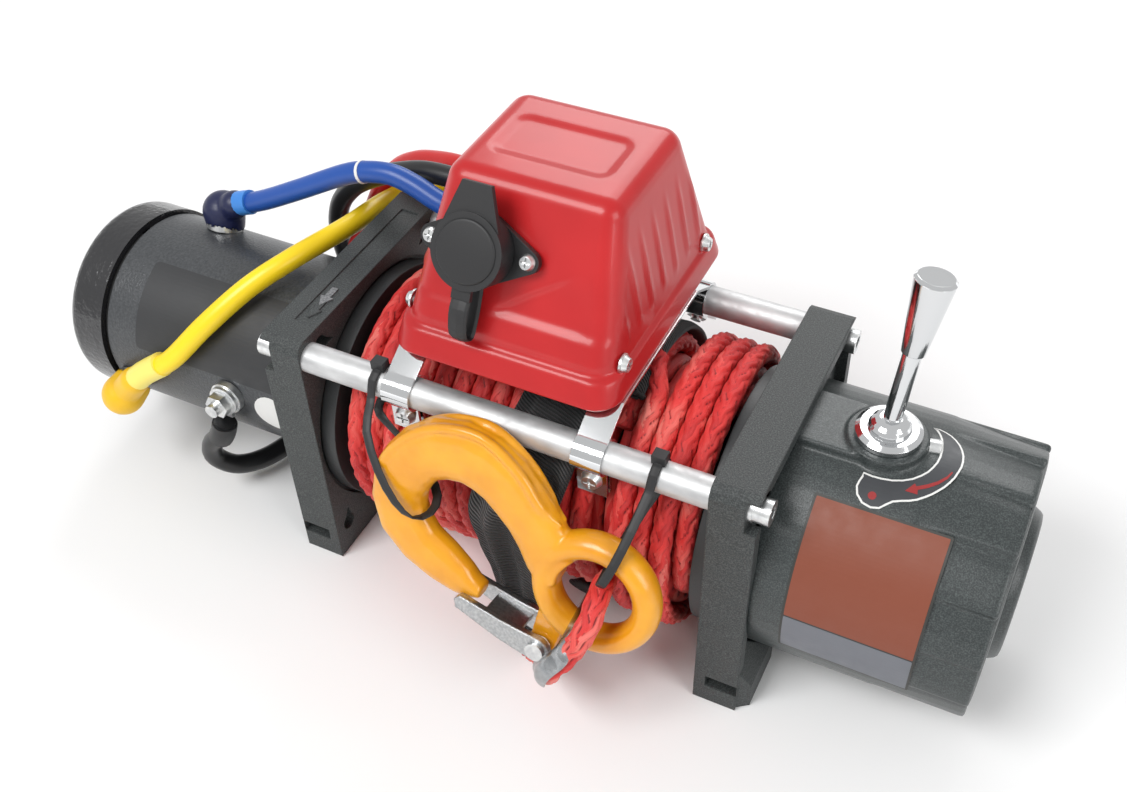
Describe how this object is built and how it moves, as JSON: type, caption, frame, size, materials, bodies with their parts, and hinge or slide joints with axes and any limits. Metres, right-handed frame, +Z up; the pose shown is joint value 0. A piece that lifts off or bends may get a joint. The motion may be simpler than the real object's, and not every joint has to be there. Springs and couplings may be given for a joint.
{
  "type": "electric recovery winch",
  "caption": "Electric recovery winch with a planetary gearbox, free-spool clutch lever, control box over the drum, red synthetic rope and a yellow latched hook.",
  "frame": {"origin": "centre of the four foot bolts, on the mounting face under the feet", "axes": "X along the drum, motor at -X and gearbox at +X; -Y is the side the rope pays out; Z up from the mounting face"},
  "size_m": [0.5598, 0.233, 0.2573],
  "materials": {
    "dark_casting": "charcoal paint on cast metal, fine grain",
    "dark_paint": "smooth dark grey paint",
    "black_plastic": "matt black",
    "black_rubber": "soft black",
    "yellow_rubber": "soft yellow boot",
    "blue_rubber": "soft navy boot",
    "cable_yellow": "yellow cable jacket",
    "cable_blue": "blue cable jacket",
    "cable_black": "black cable jacket",
    "cable_red": "red cable jacket",
    "red_plastic": "red, soft gloss",
    "bright_zinc": "bright zinc plate",
    "chrome": "polished chrome",
    "satin_bar": "satin silver bar",
    "cast_steel": "plain machined steel",
    "copper_wire": "varnished copper wire",
    "bronze": "sintered bronze and bearing steel",
    "rope_red": "braided red fibre",
    "sleeve_black": "woven black sleeve",
    "hook_yellow": "golden yellow gloss paint"
  },
  "bodies": {
    "frame": {"motor_side_support": "dark_casting", "gear_side_support": "dark_casting", "tie_bars": "satin_bar", "frame_bolts": "bright_zinc", "foot_nuts": "bright_zinc", "motor_casing": "dark_paint", "motor_end_cap": "black_plastic", "motor_cap_seal": "black_rubber", "motor_drive_plate": "dark_paint", "field_poles": "copper_wire", "brush_gear": "black_plastic", "bearings": "bronze", "motor_terminals": "bright_zinc", "yellow_boot": "yellow_rubber", "blue_boot": "blue_rubber", "yellow_cable": "cable_yellow", "blue_cable": "cable_blue", "black_cable": "cable_black", "red_cable": "cable_red", "cable_grommet": "black_rubber", "wound_sleeve": "sleeve_black", "hook_rope": "rope_red", "rope_sleeve": "sleeve_black", "thimble": "chrome", "hook": "hook_yellow", "latch_pin": "bright_zinc", "latch_spring": "bright_zinc", "cable_ties": "black_plastic", "box_cover": "red_plastic", "box_base": "black_plastic", "contactor": "black_plastic", "box_straps": "chrome", "box_screws": "bright_zinc", "socket_body": "black_plastic", "cap_strap": "black_rubber", "gear_housing": "dark_casting", "gear_end_cover": "dark_casting", "ring_gears": "cast_steel"},
    "drum": {"drum": "dark_casting", "rope_core": "rope_red", "rope_winding": "rope_red", "output_carrier": "cast_steel"},
    "output_sun": {"output_sun": "cast_steel"},
    "clutch_coupler": {"clutch_coupler": "cast_steel"},
    "clutch_lever": {"clutch_lever": "chrome"},
    "armature": {"armature": "copper_wire", "drive_shaft": "cast_steel"},
    "first_carrier": {"first_carrier": "cast_steel"},
    "second_carrier": {"second_carrier": "cast_steel"},
    "socket_cap": {"socket_cap": "black_rubber"},
    "hook_latch": {"hook_latch": "cast_steel"},
    "stage1_planet1": {"stage1_planet1": "cast_steel"},
    "stage1_planet2": {"stage1_planet2": "cast_steel"},
    "stage1_planet3": {"stage1_planet3": "cast_steel"},
    "stage2_planet1": {"stage2_planet1": "cast_steel"},
    "stage2_planet2": {"stage2_planet2": "cast_steel"},
    "stage2_planet3": {"stage2_planet3": "cast_steel"},
    "stage3_planet1": {"stage3_planet1": "cast_steel"},
    "stage3_planet2": {"stage3_planet2": "cast_steel"},
    "stage3_planet3": {"stage3_planet3": "cast_steel"}
  },
  "joints": [
    {"name": "drum_spin", "type": "hinge", "parent": "frame", "child": "drum", "pos_m": [0, 0, 0.08], "axis": [1, 0, 0], "continuous": true},
    {"name": "output_sun_spin", "type": "hinge", "parent": "frame", "child": "output_sun", "pos_m": [0, 0, 0.08], "axis": [1, 0, 0], "continuous": true},
    {"name": "armature_spin", "type": "hinge", "parent": "frame", "child": "armature", "pos_m": [0, 0, 0.08], "axis": [1, 0, 0], "continuous": true},
    {"name": "first_carrier_spin", "type": "hinge", "parent": "frame", "child": "first_carrier", "pos_m": [0, 0, 0.08], "axis": [1, 0, 0], "continuous": true},
    {"name": "second_carrier_spin", "type": "hinge", "parent": "frame", "child": "second_carrier", "pos_m": [0, 0, 0.08], "axis": [1, 0, 0], "continuous": true},
    {"name": "stage1_planet1_spin", "type": "hinge", "parent": "first_carrier", "child": "stage1_planet1", "pos_m": [0, 0.036, 0.08], "axis": [1, 0, 0], "continuous": true},
    {"name": "stage1_planet2_spin", "type": "hinge", "parent": "first_carrier", "child": "stage1_planet2", "pos_m": [0, -0.018, 0.11118], "axis": [1, 0, 0], "continuous": true},
    {"name": "stage1_planet3_spin", "type": "hinge", "parent": "first_carrier", "child": "stage1_planet3", "pos_m": [0, -0.018, 0.04882], "axis": [1, 0, 0], "continuous": true},
    {"name": "stage2_planet1_spin", "type": "hinge", "parent": "second_carrier", "child": "stage2_planet1", "pos_m": [0, 0.036, 0.08], "axis": [1, 0, 0], "continuous": true},
    {"name": "stage2_planet2_spin", "type": "hinge", "parent": "second_carrier", "child": "stage2_planet2", "pos_m": [0, -0.018, 0.11118], "axis": [1, 0, 0], "continuous": true},
    {"name": "stage2_planet3_spin", "type": "hinge", "parent": "second_carrier", "child": "stage2_planet3", "pos_m": [0, -0.018, 0.04882], "axis": [1, 0, 0], "continuous": true},
    {"name": "stage3_planet1_spin", "type": "hinge", "parent": "drum", "child": "stage3_planet1", "pos_m": [0, 0.036, 0.08], "axis": [1, 0, 0], "continuous": true},
    {"name": "stage3_planet2_spin", "type": "hinge", "parent": "drum", "child": "stage3_planet2", "pos_m": [0, -0.018, 0.11118], "axis": [1, 0, 0], "continuous": true},
    {"name": "stage3_planet3_spin", "type": "hinge", "parent": "drum", "child": "stage3_planet3", "pos_m": [0, -0.018, 0.04882], "axis": [1, 0, 0], "continuous": true},
    {"name": "clutch_lever_turn", "type": "hinge", "parent": "frame", "child": "clutch_lever", "pos_m": [0.174, 0, 0.16], "axis": [0, 0, -1], "range_deg": [0, 90]},
    {"name": "clutch_slide", "type": "slide", "parent": "output_sun", "child": "clutch_coupler", "axis": [1, 0, 0], "range_m": [0, 0.0071]},
    {"name": "socket_cap_swing", "type": "hinge", "parent": "frame", "child": "socket_cap", "pos_m": [-0.0225, -0.0499, 0.2088], "axis": [1, 0, 0], "range_deg": [0, 110], "deforming": ["cap_strap"]},
    {"name": "hook_latch_swing", "type": "hinge", "parent": "frame", "child": "hook_latch", "pos_m": [0.0423, -0.1092, 0.0516], "axis": [0, 0.9613, -0.2756], "range_deg": [0, 35], "stiffness_Nm_per_rad": 0.03, "springref_deg": -28.65}
  ],
  "couplings": [
    {"joint": "output_sun_spin", "follows": "drum_spin", "ratio": 6},
    {"joint": "first_carrier_spin", "follows": "armature_spin", "ratio": 0.16667},
    {"joint": "second_carrier_spin", "follows": "armature_spin", "ratio": 0.027778},
    {"joint": "stage1_planet1_spin", "follows": "armature_spin", "ratio": -0.41667},
    {"joint": "stage1_planet2_spin", "follows": "armature_spin", "ratio": -0.41667},
    {"joint": "stage1_planet3_spin", "follows": "armature_spin", "ratio": -0.41667},
    {"joint": "stage2_planet1_spin", "follows": "armature_spin", "ratio": -0.069444},
    {"joint": "stage2_planet2_spin", "follows": "armature_spin", "ratio": -0.069444},
    {"joint": "stage2_planet3_spin", "follows": "armature_spin", "ratio": -0.069444},
    {"joint": "stage3_planet1_spin", "follows": "drum_spin", "ratio": -2.5},
    {"joint": "stage3_planet2_spin", "follows": "drum_spin", "ratio": -2.5},
    {"joint": "stage3_planet3_spin", "follows": "drum_spin", "ratio": -2.5},
    {"joint": "clutch_slide", "follows": "clutch_lever_turn", "m_per_rad": 0.0045}
  ]
}
